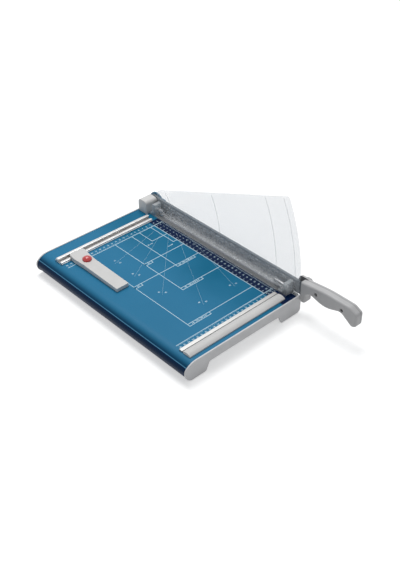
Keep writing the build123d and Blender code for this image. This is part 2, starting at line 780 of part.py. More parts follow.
with BuildPart() as pivot_doubler:
    with BuildSketch(section(doubler_x)):
        with Locations((pivot_y, pivot_z)):
            Circle(doubler_radius)
        with Locations((pivot_y - 15, pivot_z)):
            RectangleRounded(30, eye_radius * 1.7, 5)
        with Locations((pivot_y, pivot_z)):
            Circle(bush_radius, mode=Mode.SUBTRACT)
        with Locations(*rivet_spots):
            Circle(rivet_radius, mode=Mode.SUBTRACT)
    extrude(amount=doubler_thickness)
    chamfer(pivot_doubler.faces().sort_by(Axis.X)[-1].outer_wire().edges(), 0.5)
save(pivot_doubler, "pivot_doubler")

with BuildPart() as doubler_rivets:
    with BuildSketch(section(beam_x)):
        with Locations(*rivet_spots):
            Circle(rivet_radius)
    extrude(amount=beam_thickness + doubler_thickness)
    with BuildSketch(section(doubler_x + doubler_thickness)):
        with Locations(*rivet_spots):
            Circle(rivet_radius * 1.7)
    extrude(amount=1.6)
    fillet(doubler_rivets.edges().group_by(Axis.X)[-1], 1.2)
save(doubler_rivets, "doubler_rivets")

# --- handle: two halves round the beam's tang -----------------------------------------------------
root_front = -beam_front
finger_bottom = -8.5     # lower end of the finger stop
root_top = 36.2
root_step = 2.8          # the far half's root stands this much higher
grip_corners = [
    # (y, z), radius of the corner: finger stop, finger notches, end and crown of the grip
    ((grip_at(0.103), finger_bottom), grip_length * 0.046),
    ((grip_at(0.111), 21), grip_length * 0.084),
    ((grip_at(0.451), 8), grip_length * 0.42),
    ((grip_at(0.722), 20), grip_length * 0.107),
    ((grip_at(0.925), 2.2), grip_length * 0.06),
    ((grip_at(1), 6), grip_length * 0.055),
    ((grip_at(1), 33), grip_length * 0.055),
    ((grip_at(0.87), 41.4), grip_length * 0.15),
    ((grip_at(0.45), 42.2), grip_length * 1.4),
]
near_corners = [((near_start, root_top), 3), ((near_start, finger_bottom), 6)] + grip_corners
far_corners = [
    ((near_start - 8, root_top + 0.9), 3),
    ((near_start - 4, root_top + root_step), 2),
    ((root_front - 5, root_top + root_step), 6),
    ((root_front, beam_top + 3), 4),
    ((root_front, -beam_bottom), 3),
    ((near_start - 3, finger_bottom), 5),
] + grip_corners

with BuildLine() as near_edge:
    FilletPolyline(*[point for point, r in near_corners], radius=[r for point, r in near_corners], close=True)

with BuildLine() as far_edge:
    FilletPolyline(*[point for point, r in far_corners], radius=[r for point, r in far_corners], close=True)

near_face = seam_x - near_half
far_face = seam_x + far_half
screw_room = 0.8         # round the screws' heads
screw_seat = 6.5         # bottom of the counterbores below the near half's face
nut_recess = 3.0

with BuildPart() as handle_near_half:
    with BuildSketch(section(near_face)):
        make_face(near_edge.edges())
    extrude(amount=near_half)
    fillet(handle_near_half.faces().sort_by(Axis.X)[0].outer_wire().edges(), grip_round)
    with BuildSketch(section(seam_x)):
        make_face(tang_edge.edges())
        offset(amount=tang_fit)
    extrude(amount=beam_x - tang_fit - seam_x, mode=Mode.SUBTRACT)
    with Locations(section(near_face)):
        with Locations(*turned(handle_spots)):
            CounterBoreHole(m3 / 2 + screw_fit, m3 * 0.95 + screw_room, screw_seat)
save(handle_near_half, "handle_near_half")

with BuildPart() as handle_far_half:
    with BuildSketch(section(seam_x)):
        make_face(far_edge.edges())
    extrude(amount=far_half)
    fillet(handle_far_half.faces().sort_by(Axis.X)[-1].outer_wire().edges(), grip_round)
    with BuildSketch(section(far_face)):
        with Locations((root_front - 15, beam_top / 2 + 5)):
            RectangleRounded(20, 30, 8)
    extrude(amount=root_boss)
    fillet(handle_far_half.faces().sort_by(Axis.X)[-1].outer_wire().edges(), boss_round)
    with BuildSketch(section(seam_x)):
        make_face(tang_edge.edges())
        offset(amount=tang_fit)
    extrude(amount=doubler_x + tang_fit - seam_x, mode=Mode.SUBTRACT)
    with BuildSketch(section(far_face - nut_recess)):
        with Locations(*handle_spots):
            RegularPolygon(m3 * 0.9 + screw_fit, 6)
    extrude(amount=nut_recess, mode=Mode.SUBTRACT)
    with Locations(section(far_face)):
        with Locations(*handle_spots):
            Hole(m3 / 2 + screw_fit)
save(handle_far_half, "handle_far_half")

with BuildPart() as handle_screws:
    with Locations(section(near_face + screw_seat)):
        with Locations(*turned(handle_spots)):
            add(pan_screw(m3, near_half - screw_seat + far_half - nut_recess + 3))
save(handle_screws, "handle_screws")

with BuildPart() as handle_nuts:
    with Locations(section(far_face - nut_recess)):
        with Locations(*handle_spots):
            add(hex_nut(m3, 2.4))
save(handle_nuts, "handle_nuts")

# --- guard: clear sheet whose foot presses the paper, on two pins that run in slotted brackets -----
guard_top_of_flange = guard_gap + guard_thickness
guard_overlap = guard_top_of_flange + flange_bend + 3.6   # top of the bend, inside the sheet


def guard_edge(y):
    """Height of the guard's straight top edge."""
    return guard_rear_height + guard_slope * (guard_rear_reach - y)


with BuildPart() as guard_shield:
    # Foot flange and the bend up into the sheet.
    with BuildSketch(across(flange_rear)) as profile:
        with BuildLine():
            Polyline((-guard_x - flange_width, guard_gap), (-guard_x + guard_thickness, guard_gap),
                     (-guard_x + guard_thickness, guard_overlap), (-guard_x, guard_overlap),
                     (-guard_x, guard_top_of_flange),
                     (-guard_x - flange_width, guard_top_of_flange), close=True)
        make_face()
        fillet(profile.vertices().sort_by(Axis.X)[:2], guard_thickness * 0.3)
        fillet(corners_at(profile, guard_top_of_flange).sort_by(Axis.X)[-1], flange_bend)
    extrude(amount=flange_rear + flange_front)
    # The sheet itself.
    with BuildSketch(section(-guard_x)) as sheet_outline:
        with Locations((guard_arc_y, guard_arc_z)):
            Circle(guard_radius)
        with BuildLine():
            Polyline((guard_rear, guard_gap), (guard_rear, guard_edge(guard_rear)),
                     (-guard_front, guard_edge(-guard_front)), (-guard_front, guard_gap), close=True)
        make_face(mode=Mode.INTERSECT)
        fillet(sheet_outline.vertices().sort_by(Axis.Y)[-1], guard_tip)
        fillet(sheet_outline.vertices().group_by(Axis.X)[-1].sort_by(Axis.Y)[-1], guard_corner)
    extrude(amount=guard_thickness)
    # Stiffening ribs on arcs about the same centre.
    for radius, start in zip(rib_radii, rib_starts):
        with BuildSketch(section(-guard_x)):
            with Locations((guard_arc_y, guard_arc_z)):
                Circle(radius + rib_width / 2)
                Circle(radius - rib_width / 2, mode=Mode.SUBTRACT)
            with BuildLine():
                Polyline((guard_rear - guard_corner, start),
                         (guard_rear - guard_corner, guard_edge(guard_rear)),
                         (-guard_front, guard_edge(-guard_front) - 2), (-guard_front, start), close=True)
            make_face(mode=Mode.INTERSECT)
        extrude(amount=-rib_height)
    # Small gussets where the ribs reach the flange.
    for radius in rib_radii[:-1]:
        with BuildSketch(across(guard_arc_y - radius + rib_width)):
            with BuildLine():
                Polyline((-guard_x, guard_gap + 1), (-guard_x, guard_gap + 12), (-guard_x - 9, guard_gap + 1),
                         close=True)
            make_face()
        extrude(amount=rib_width * 1.5)
    # Barrels for the pins, each on a web.
    for y in (flange_rear, barrel_length - flange_front):
        with BuildSketch(across(y)):
            with Locations((-pin_x, pin_z)):
                Circle(barrel_radius)
                Rectangle(barrel_radius, pin_z - guard_gap - 1, align=(Align.CENTER, Align.MAX))
                Circle(pin_radius, mode=Mode.SUBTRACT)
        extrude(amount=barrel_length)
    # Groove for the clamp strip.
    with BuildSketch(level(guard_gap)):
        with Locations((strip_inset - guard_x - flange_width, flange_rear)):
            Rectangle(strip_band, flange_rear + flange_front, align=(Align.MIN, Align.MAX))
    extrude(amount=strip_depth, mode=Mode.SUBTRACT)
save(guard_shield, "guard_shield")

with BuildPart() as clamp_strip:
    with BuildSketch(level(guard_gap - strip_proud)):
        with Locations((strip_inset - guard_x - flange_width, flange_rear)):
            Rectangle(strip_band, flange_rear + flange_front, align=(Align.MIN, Align.MAX))
    extrude(amount=strip_depth + strip_proud)
save(clamp_strip, "clamp_strip")

# Each pin reaches from its barrel into the tall end of its bracket.
bore_y = wedge_flat / 2
pin_spans = ((flange_rear - barrel_length, rear_bracket_start + bore_y + pin_radius),
             (bore_y - pin_radius - front_bracket_start, barrel_length - flange_front))
with BuildPart() as guard_pins:
    for y_low, y_high in pin_spans:
        with BuildSketch(across(y_high)):
            with Locations((-pin_x, pin_z)):
                Circle(pin_radius)
        extrude(amount=y_high - y_low)
save(guard_pins, "guard_pins")

slot_fit = 0.25
bracket_right = -guard_x - guard_bracket_gap
spring_bottom = 1.5


def guard_bracket(y_start, length):
    """Slotted wedge bracket: tall at y_start, with a toe that a screw holds."""
    with BuildPart() as bracket:
        with BuildSketch(section(bracket_right - guard_bracket_width)):
            with BuildLine():
                Polyline((y_start, 0), (y_start, guard_bracket_height),
                         (y_start + wedge_flat, guard_bracket_height),
                         (y_start + wedge_flat + wedge_slope, wedge_toe),
                         (y_start + length, wedge_toe), (y_start + length, 0), close=True)
            make_face()
        extrude(amount=guard_bracket_width)
        fillet(bracket.edges().filter_by(Axis.Z), 1.5)
        fillet(bracket.faces().sort_by(Axis.Z)[-1].edges(), 1.2)
        with BuildSketch(across(y_start)):
            with Locations((-pin_x, pin_z + guard_lift / 2)):
                Rectangle(2 * (pin_radius + slot_fit), guard_lift + 2 * (pin_radius + slot_fit))
        extrude(amount=-length, mode=Mode.SUBTRACT)
        with BuildSketch(level(spring_bottom)):
            with Locations((-pin_x, y_start + bore_y)):
                Circle(spring_radius + slot_fit)
        extrude(amount=pin_z - spring_bottom, mode=Mode.SUBTRACT)
        with Locations(level(wedge_toe)):
            with Locations((rail_mid, y_start + length - toe_inset)):
                CounterSinkHole(m3 / 2 + screw_fit, m3, counter_sink_angle=90)
    return bracket


guard_bracket_rear = guard_bracket(rear_bracket_start, rear_bracket_length)
save(guard_bracket_rear, "guard_bracket_rear")
guard_bracket_front = guard_bracket(-front_bracket_start, front_bracket_length)
save(guard_bracket_front, "guard_bracket_front")

with BuildPart() as guard_bracket_screws:
    with Locations(level(wedge_toe)):
        with Locations(*toe_screws):
            add(countersunk_screw(m3, wedge_toe + sheet + 7))
save(guard_bracket_screws, "guard_bracket_screws")

spring_wire = 0.7
spring_length = pin_z - pin_radius - slot_fit - spring_bottom
with BuildPart() as guard_springs:
    with Locations(level(spring_bottom)):
        with Locations((-pin_x, rear_bracket_start + bore_y), (-pin_x, bore_y - front_bracket_start)):
            add(coil(spring_radius - spring_wire, spring_wire, spring_length, 11))
save(guard_springs, "guard_springs")

# --- backstop: arm with a hooked head that runs on the back rail ------------------------------------
slide_gap = 0.1          # between the shoe and the groove's walls
hook_z = low_bar_height + slide_fit
shoe_top = hook_z + shoe_tab
shoe_front = 1.0
button_bottom = button_floor + button_travel + slide_fit
button_roof = 9.3

shoe_spots = [(-button_x + way * shoe_length / 4, low_bar_width / 2 + 0.5) for way in (-1, 1)]
shoe_grip = 2.5          # of the shoe's screws in the head

with BuildPart() as backstop_arm:
    with BuildSketch(level(arm_gap)) as plan:
        with BuildLine():
            flare = ThreePointArc((arm_width - arm_left, -head_start),
                                  (-head_right - head_flare * 0.6, -head_start * 0.5), (-head_right, 0))
            Line(flare @ 1, (-head_right, head_back))
            Polyline((-head_right, head_back), (-arm_left, head_back), (-head_left, -head_start / 3),
                     (-arm_left, -head_start), (-arm_left, -arm_reach), (arm_width - arm_left, -arm_reach),
                     flare @ 0)
        make_face()
        fillet(plan.vertices().group_by(Axis.Y)[-1], head_corner)
        fillet(plan.vertices().group_by(Axis.Y)[0], arm_corner)
    extrude(amount=head_top - arm_gap)
    with BuildSketch(section(-head_left)):
        with BuildLine():
            Polyline((-arm_reach, 0), (-arm_reach, arm_tip), (head_back, head_top), (head_back, 0),
                     close=True)
        make_face()
    extrude(amount=head_left, mode=Mode.INTERSECT)
    fillet(backstop_arm.faces().sort_by(Axis.Z)[-1].outer_wire().edges(), arm_edge)
    with BuildSketch(section(-head_left - 1)):
        with Locations((-slide_fit, 0)):
            Rectangle(head_back * 2, hook_z, align=(Align.MIN, Align.MIN))
    extrude(amount=head_left, mode=Mode.SUBTRACT)
    with BuildSketch(level(hook_z)):
        with Locations((-button_x, shoe_front)):
            Rectangle(shoe_length, head_back, align=(Align.CENTER, Align.MIN))
    extrude(amount=shoe_tab, mode=Mode.SUBTRACT)
    with BuildSketch(level(button_floor)):
        with Locations((-button_x, -button_y)):
            Circle(button_radius + slide_fit)
    extrude(amount=head_top, mode=Mode.SUBTRACT)
    with Locations(level(shoe_top)):
        with Locations(*turned(shoe_spots)):
            Hole(1 + shaft_fit, depth=shoe_grip)
save(backstop_arm, "backstop_arm")

with BuildPart() as clamp_shoe:
    with BuildSketch(section(-button_x - shoe_length / 2)):
        with BuildLine():
            Polyline((shoe_front, shoe_top), (shoe_front, hook_z),
                     (low_bar_width + slide_gap, hook_z),
                     (low_bar_width + slide_gap, groove_floor + slide_gap),
                     (high_y - slide_gap, groove_floor + slide_gap),
                     (high_y - slide_gap, shoe_top), close=True)
        make_face()
    extrude(amount=shoe_length)
    with Locations(level(hook_z)):
        with Locations(*turned(shoe_spots)):
            CounterSinkHole(1 + screw_fit, 2, counter_sink_angle=90)
save(clamp_shoe, "clamp_shoe")

with BuildPart() as shoe_screws:
    with Locations(level(hook_z)):
        with Locations(*turned(shoe_spots)):
            add(countersunk_screw(2, shoe_tab + shoe_grip))
save(shoe_screws, "shoe_screws")

dome_drop = button_dome - sqrt(button_dome ** 2 - button_radius ** 2)

with BuildPart() as button_form:
    with BuildSketch(Plane.XZ):
        with BuildLine():
            Polyline((0, button_top), (0, button_roof), (button_radius - 2, button_roof),
                     (button_radius - 2, button_bottom), (button_radius, button_bottom),
                     (button_radius, button_top - dome_drop))
            RadiusArc((button_radius, button_top - dome_drop), (0, button_top), -button_dome)
        make_face()
    revolve(axis=Axis.Z)

with BuildPart() as release_button:
    with Locations(deck):
        with Locations((-button_x, -button_y)):
            add(button_form.part)
save(release_button, "release_button")

with BuildPart() as button_spring:
    with Locations(level(button_floor)):
        with Locations((-button_x, -button_y)):
            add(coil(4, 0.8, button_roof - button_floor, 6))
save(button_spring, "button_spring")
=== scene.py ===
# %% [markdown]
# # A lever guillotine, dressed in Blender
#
# The machine's solids come from a CAD model: a folded steel table on two moulded end caps, paper
# stops, a lever with a blade, and a clear guard. This lesson gives them their finishes and adds
# what CAD leaves out, such as the print on the table.

# %% Load the frame
import math
import bmesh
import bpy
from mathutils import Matrix, Quaternion, Vector


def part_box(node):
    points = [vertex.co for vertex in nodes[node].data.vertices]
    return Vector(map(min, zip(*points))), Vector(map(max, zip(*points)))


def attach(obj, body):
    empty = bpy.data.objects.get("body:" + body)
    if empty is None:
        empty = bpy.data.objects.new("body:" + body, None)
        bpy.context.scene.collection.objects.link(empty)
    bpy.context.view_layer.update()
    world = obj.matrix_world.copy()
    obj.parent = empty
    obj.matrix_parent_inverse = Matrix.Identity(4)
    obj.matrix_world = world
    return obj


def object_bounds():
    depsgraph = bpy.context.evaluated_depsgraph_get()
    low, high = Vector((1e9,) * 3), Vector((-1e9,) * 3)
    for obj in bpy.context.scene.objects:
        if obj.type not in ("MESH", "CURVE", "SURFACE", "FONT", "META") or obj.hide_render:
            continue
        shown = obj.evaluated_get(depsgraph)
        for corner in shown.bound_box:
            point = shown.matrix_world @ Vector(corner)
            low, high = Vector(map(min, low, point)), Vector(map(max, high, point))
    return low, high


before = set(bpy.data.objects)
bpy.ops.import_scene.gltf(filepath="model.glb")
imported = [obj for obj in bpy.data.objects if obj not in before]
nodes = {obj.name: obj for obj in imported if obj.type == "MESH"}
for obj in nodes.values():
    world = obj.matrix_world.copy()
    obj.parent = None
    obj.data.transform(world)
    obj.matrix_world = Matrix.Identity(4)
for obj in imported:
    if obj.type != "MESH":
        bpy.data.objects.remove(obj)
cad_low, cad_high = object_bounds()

MM = 0.001
print("CAD box in mm:", [round(v / MM, 1) for v in cad_high - cad_low])

# %% [markdown]
# ## Where things are
#
# Everything on the machine is counted from the cutting edge and the paper stop. Both are read
# from the CAD solids, so the print stays on the table if the model changes. x falls to the left
# from the cutting edge, and y falls from the stop towards the handle.

# %% Datum planes of the machine
cutting_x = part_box("lower_blade")[1].x
stop_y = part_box("back_rail")[0].y
table_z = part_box("table_plate")[1].z
front_stop = (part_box("front_rail_strip")[1].y - stop_y) / MM
guard_foot_left = (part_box("guard_shield")[0].x - cutting_x) / MM


def on_table(x, y, z=0.0):
    """Point x, y, z millimetres from the corner of cutting edge, stop and table top."""
    return Vector((cutting_x + x * MM, stop_y + y * MM, table_z + z * MM))


print("front stop at", round(front_stop, 1), "and guard foot at", round(guard_foot_left, 1))

# %% [markdown]
# ## The camera
#
# A long, low machine is shown well from above with a long lens, so that its parallel edges stay
# nearly parallel. The camera is placed by turning about a point on the table, which is easier to
# reason about than a loose position.

# %% Camera
camera_azimuth = math.radians(-43.10)
camera_elevation = math.radians(37.10)
camera_roll = math.radians(0.10)
camera_distance = 1.670
camera_lens = 56.2
camera_sensor = 36.0

camera_target = on_table(-114.5, -227.1)  # near the middle of the table
camera_back = Vector((
    math.sin(camera_azimuth) * math.cos(camera_elevation),
    -math.cos(camera_azimuth) * math.cos(camera_elevation),
    math.sin(camera_elevation),
))
camera_data = bpy.data.cameras.new("studio_camera")
camera_data.lens = camera_lens
camera_data.sensor_width = camera_sensor
camera = bpy.data.objects.new("studio_camera", camera_data)
bpy.context.scene.collection.objects.link(camera)
camera.rotation_mode = "QUATERNION"
camera.location = camera_target + camera_back * camera_distance
camera.rotation_quaternion = (-camera_back).to_track_quat("-Z", "Y") @ Quaternion((0, 0, 1), camera_roll)
bpy.context.scene.camera = camera
print("camera stands at", [round(v, 3) for v in camera.location])

# %% [markdown]
# ## Soft light and a pale floor
#
# One wide lamp overhead and an even sky light the machine without hard shadows, and the pale floor
# sends light back to its sides. The lamp stands a little behind and to the right, so the stops
# and the backstop throw a narrow shadow towards the reader. The sky that the camera
# sees is white, while the sky that lights the object is plain, and the Light Path node tells the
# two apart. Glossy and transmission rays get the white too, so metal and the clear guard show it.

# %% Lights
sky_strength = 0.35
sky_tint = (0.96, 0.98, 1.0, 1.0)
pure_white = (1.0, 1.0, 1.0, 1.0)
key_offset = Vector((0.45, 0.8, 2.2))
key_size = 1.4
key_power = 38.0


def sees_background(tree):
    """Socket that is 1 for rays that should find the white background."""
    path = tree.nodes.new("ShaderNodeLightPath")
    first = tree.nodes.new("ShaderNodeMath")
    first.operation = "MAXIMUM"
    tree.links.new(path.outputs["Is Camera Ray"], first.inputs[0])
    tree.links.new(path.outputs["Is Glossy Ray"], first.inputs[1])
    second = tree.nodes.new("ShaderNodeMath")
    second.operation = "MAXIMUM"
    tree.links.new(first.outputs[0], second.inputs[0])
    tree.links.new(path.outputs["Is Transmission Ray"], second.inputs[1])
    return second.outputs[0]


world = bpy.data.worlds.new("studio_sky")
bpy.context.scene.world = world
world.use_nodes = True
sky = world.node_tree
sky.nodes.clear()
sky_out = sky.nodes.new("ShaderNodeOutputWorld")
lighting_sky = sky.nodes.new("ShaderNodeBackground")
lighting_sky.inputs["Color"].default_value = sky_tint
lighting_sky.inputs["Strength"].default_value = sky_strength
white_sky = sky.nodes.new("ShaderNodeBackground")
white_sky.inputs["Color"].default_value = pure_white
white_sky.inputs["Strength"].default_value = 1.0
sky_choice = sky.nodes.new("ShaderNodeMixShader")
sky.links.new(sees_background(sky), sky_choice.inputs["Fac"])
sky.links.new(lighting_sky.outputs[0], sky_choice.inputs[1])
sky.links.new(white_sky.outputs[0], sky_choice.inputs[2])
sky.links.new(sky_choice.outputs[0], sky_out.inputs["Surface"])


def soft_lamp(name, place, aim, size, power):
    """Square area lamp at place that points at aim."""
    data = bpy.data.lights.new(name, "AREA")
    data.shape = "SQUARE"
    data.size = size
    data.energy = power
    lamp = bpy.data.objects.new(name, data)
    bpy.context.scene.collection.objects.link(lamp)
    lamp.location = place
    lamp.rotation_mode = "QUATERNION"
    lamp.rotation_quaternion = (aim - place).to_track_quat("-Z", "Y")


soft_lamp("key_lamp", camera_target + key_offset, camera_target, key_size, key_power)
print("lamp:", key_power, "W, sky", sky_strength)

# %% [markdown]
# ## The floor
#
# The floor takes the object's shadow with a plain diffuse surface. A little of its own light, for
# the rays that look for the background, lifts it to the same white as the sky.

# %% Floor
floor_reach = 4.0
floor_white = (0.80, 0.80, 0.80, 1.0)
floor_lift = 0.50


def stage_floor():
    """Wide plane at desk level."""
    form = bmesh.new()
    bmesh.ops.create_grid(form, x_segments=8, y_segments=8, size=floor_reach)
    mesh = bpy.data.meshes.new("studio_floor")
    form.to_mesh(mesh)
    form.free()
    floor = bpy.data.objects.new("studio_floor", mesh)
    bpy.context.scene.collection.objects.link(floor)
    floor.location.z = cad_low.z
    finish = bpy.data.materials.new("pale_floor")
    finish.use_nodes = True
    tree = finish.node_tree
    tree.nodes.clear()
    out = tree.nodes.new("ShaderNodeOutputMaterial")
    paper = tree.nodes.new("ShaderNodeBsdfDiffuse")
    paper.inputs["Color"].default_value = floor_white
    glow = tree.nodes.new("ShaderNodeEmission")
    glow.inputs["Color"].default_value = pure_white
    lift = tree.nodes.new("ShaderNodeMath")
    lift.operation = "MULTIPLY"
    lift.inputs[1].default_value = floor_lift
    tree.links.new(sees_background(tree), lift.inputs[0])
    tree.links.new(lift.outputs[0], glow.inputs["Strength"])
    both = tree.nodes.new("ShaderNodeAddShader")
    tree.links.new(paper.outputs[0], both.inputs[0])
    tree.links.new(glow.outputs[0], both.inputs[1])
    tree.links.new(both.outputs[0], out.inputs["Surface"])
    mesh.materials.append(finish)
    return floor


floor = stage_floor()
print("floor lies at", round(floor.location.z, 4))

# %% [markdown]
# ## How a finish is built
#
# Each finish starts from one Principled shader. A value that is the same all over is typed on the
# shader's own socket. What varies, such as grain, scuffs and dust, comes from noise in the
# object's own coordinates, which here are metres, so a scale of 1000 is a pattern of about 1 mm.

# %% Helpers for finishes
noise_low = 0.3
noise_high = 0.7


def new_finish(name, colour, roughness, metallic=0.0):
    """Material with a Principled shader and its even values."""
    finish = bpy.data.materials.new(name)
    finish.use_nodes = True
    shader = finish.node_tree.nodes["Principled BSDF"]
    shader.inputs["Base Color"].default_value = (*colour, 1.0)
    shader.inputs["Roughness"].default_value = roughness
    shader.inputs["Metallic"].default_value = metallic
    return finish


def noise(finish, scale, detail=4.0, stretch=(1.0, 1.0, 1.0)):
    """Noise in object space, stretched along the axes with small numbers."""
    tree = finish.node_tree
    place = tree.nodes.new("ShaderNodeTexCoord")
    mapping = tree.nodes.new("ShaderNodeMapping")
    mapping.inputs["Scale"].default_value = stretch
    tree.links.new(place.outputs["Object"], mapping.inputs["Vector"])
    pattern = tree.nodes.new("ShaderNodeTexNoise")
    pattern.inputs["Scale"].default_value = scale
    pattern.inputs["Detail"].default_value = detail
    tree.links.new(mapping.outputs["Vector"], pattern.inputs["Vector"])
    return pattern.outputs["Fac"]


def spread(finish, value, low, high):
    """Maps the middle of a noise to the range from low to high."""
    tree = finish.node_tree
    span = tree.nodes.new("ShaderNodeMapRange")
    span.inputs["From Min"].default_value = noise_low
    span.inputs["From Max"].default_value = noise_high
    span.inputs["To Min"].default_value = low
    span.inputs["To Max"].default_value = high
    tree.links.new(value, span.inputs["Value"])
    return span.outputs["Result"]


def add_relief(finish, value, height):
    """Bumps the surface by a noise, height in metres; later calls stack on earlier ones."""
    tree = finish.node_tree
    shader = tree.nodes["Principled BSDF"]
    relief = tree.nodes.new("ShaderNodeBump")
    relief.inputs["Distance"].default_value = height
    tree.links.new(value, relief.inputs["Height"])
    if shader.inputs["Normal"].is_linked:
        tree.links.new(shader.inputs["Normal"].links[0].from_socket, relief.inputs["Normal"])
    tree.links.new(relief.outputs["Normal"], shader.inputs["Normal"])


def vary_colour(finish, value, dark, light):
    """Colour that runs from dark to light with a value between 0 and 1."""
    tree = finish.node_tree
    mix = tree.nodes.new("ShaderNodeMix")
    mix.data_type = "RGBA"
    mix.inputs["A"].default_value = (*dark, 1.0)
    mix.inputs["B"].default_value = (*light, 1.0)
    tree.links.new(value, mix.inputs["Factor"])
    tree.links.new(mix.outputs["Result"], tree.nodes["Principled BSDF"].inputs["Base Color"])


def vary_roughness(finish, value, low, high):
    """Roughness between low and high."""
    tree = finish.node_tree
    shader = tree.nodes["Principled BSDF"]
    tree.links.new(spread(finish, value, low, high), shader.inputs["Roughness"])


def shade(colour, factor):
    """The same colour, darker or lighter."""
    return tuple(min(1.0, c * factor) for c in colour)


def dress(finish, *names):
    """Gives a finish to CAD nodes."""
    for name in names:
        nodes[name].data.materials.clear()
        nodes[name].data.materials.append(finish)
    print(finish.name, "->", ", ".join(names))


# %% [markdown]
# ## Blue enamel
#
# The table is sprayed steel. Enamel has a fine orange peel and a gloss that is not quite even. A
# dark band is printed on it along the cutting edge, so that paper stands out there. Light and shade
# are painted into the enamel too: the blue turns teal towards the cutting edge as a painted
# reflection of the guard and beam, the rolled edge carries painted shade with a thin painted
# highlight line along it, and its underside is painted dark navy as shade. The band and the painted
# light and shade are worked out from object coordinates, so they sit on the metal from every side.
# The eye plate of the lever is sprayed in a tint of its own.

# %% Enamel
enamel_blue = (0.026, 0.190, 0.350)
enamel_teal = (0.001, 0.130, 0.245)
# Navy prints the band along the cutting edge and is also painted shade under the rolled edge.
navy_band_and_shade = (0.0008, 0.012, 0.055)
# Painted shade colour for the top of the rolled edge.
shoulder_shade_blue = (0.0008, 0.048, 0.112)
# Painted shade colour below the highlight line.
roll_shade_blue = (0.0004, 0.018, 0.060)
# Painted highlight colour for the thin line along the rolled edge.
painted_edge_highlight = (0.090, 0.270, 0.430)
band_left = -45.0
# Where the painted reflection of the guard and beam turns the blue teal, in mm from the cutting edge.
guard_reflection_from = -175.0
guard_reflection_to = -70.0
# Depth in mm of the painted highlight line.
highlight_line_depth = -8.0

enamel_roughness = 0.36
enamel_shine = 0.08
# Depths in mm below the table top of the painted shade and highlight on the rolled edge.
shoulder_shade_top = -0.3
shoulder_shade_foot = -7.0
highlight_line_half = 0.3
highlight_line_soft = 0.3
shade_below_from = 0.5
shade_below_to = 0.8
under_shade_from = -18.0
under_shade_to = -30.0
orange_peel = 0.00001

enamel = new_finish("blue_enamel", enamel_blue, enamel_roughness)
enamel.node_tree.nodes["Principled BSDF"].inputs["Specular IOR Level"].default_value = enamel_shine


def ramp_between(finish, value, start, end):
    """0 before start and 1 after end, with a smooth step between."""
    step = finish.node_tree.nodes.new("ShaderNodeMapRange")
    step.interpolation_type = "SMOOTHSTEP"
    step.inputs["From Min"].default_value = start
    step.inputs["From Max"].default_value = end
    finish.node_tree.links.new(value, step.inputs["Value"])
    return step.outputs["Result"]


def object_axes(finish):
    """Sockets with the object's x, y and z."""
    place = finish.node_tree.nodes.new("ShaderNodeTexCoord")
    parts = finish.node_tree.nodes.new("ShaderNodeSeparateXYZ")
    finish.node_tree.links.new(place.outputs["Object"], parts.inputs["Vector"])
    return parts.outputs


def where_both(finish, first, second):
    """Socket that is 1 only where first and second are both 1."""
    node = finish.node_tree.nodes.new("ShaderNodeMath")
    node.operation = "MULTIPLY"
    finish.node_tree.links.new(first, node.inputs[0])
    finish.node_tree.links.new(second, node.inputs[1])
    return node.outputs[0]


def paint_over(finish, under, over, amount):
    """Colour socket that goes from under, a colour or a socket, to over with amount."""
    mix = finish.node_tree.nodes.new("ShaderNodeMix")
    mix.data_type = "RGBA"
    if isinstance(under, tuple):
        mix.inputs["A"].default_value = (*under, 1.0)
    else:
        finish.node_tree.links.new(under, mix.inputs["A"])
    mix.inputs["B"].default_value = (*over, 1.0)
    finish.node_tree.links.new(amount, mix.inputs["Factor"])
    return mix.outputs["Result"]


def paint_where(finish, colour, amount):
    """Puts one more colour on a varied finish where amount is one."""
    base = finish.node_tree.nodes["Principled BSDF"].inputs["Base Color"]
    finish.node_tree.links.new(paint_over(finish, base.links[0].from_socket, colour, amount), base)


def below_top(depth):
    """Height of a point on the rolled edge, depth in millimetres from the table top."""
    return table_z + depth * MM


enamel_axes = object_axes(enamel)
across_table = enamel_axes["X"]
height = enamel_axes["Z"]
highlight_line_outer = highlight_line_half + highlight_line_soft
# Painted reflection of the guard and beam: the blue turns teal towards the cutting edge.
guard_reflection_teal = ramp_between(enamel, across_table, on_table(guard_reflection_from, 0).x, on_table(guard_reflection_to, 0).x)
# Painted shade over the top of the rolled edge.
shoulder_shade = ramp_between(enamel, height, below_top(shoulder_shade_top), below_top(shoulder_shade_foot))
# Painted highlight: a thin light line along the rolled edge.
highlight_line_top = ramp_between(enamel, height, below_top(highlight_line_depth + highlight_line_outer),
                        below_top(highlight_line_depth + highlight_line_half))
highlight_line_foot = ramp_between(enamel, height, below_top(highlight_line_depth - highlight_line_outer),
                         below_top(highlight_line_depth - highlight_line_half))
# Painted shade below the highlight line.
below_line_shade = ramp_between(enamel, height, below_top(highlight_line_depth - shade_below_from),
                          below_top(highlight_line_depth - shade_below_to))
# Painted shade: dark navy under the rolled edge.
under_roll_shade = ramp_between(enamel, height, below_top(under_shade_from), below_top(under_shade_to))
uneven_coat = spread(enamel, noise(enamel, 9.0, 3.0), 0.0, 0.35)

# Painted reflection: teal towards the cutting edge.
coat = paint_over(enamel, enamel_blue, enamel_teal, guard_reflection_teal)
coat = paint_over(enamel, coat, shade(enamel_blue, 1.15), uneven_coat)
# Painted shade over the top of the rolled edge.
coat = paint_over(enamel, coat, shoulder_shade_blue, shoulder_shade)
# Painted shade below the highlight line.
coat = paint_over(enamel, coat, roll_shade_blue, below_line_shade)
# Painted highlight line along the rolled edge.
coat = paint_over(enamel, coat, painted_edge_highlight, where_both(enamel, highlight_line_top, highlight_line_foot))
# Painted shade: dark navy under the rolled edge.
coat = paint_over(enamel, coat, navy_band_and_shade, under_roll_shade)

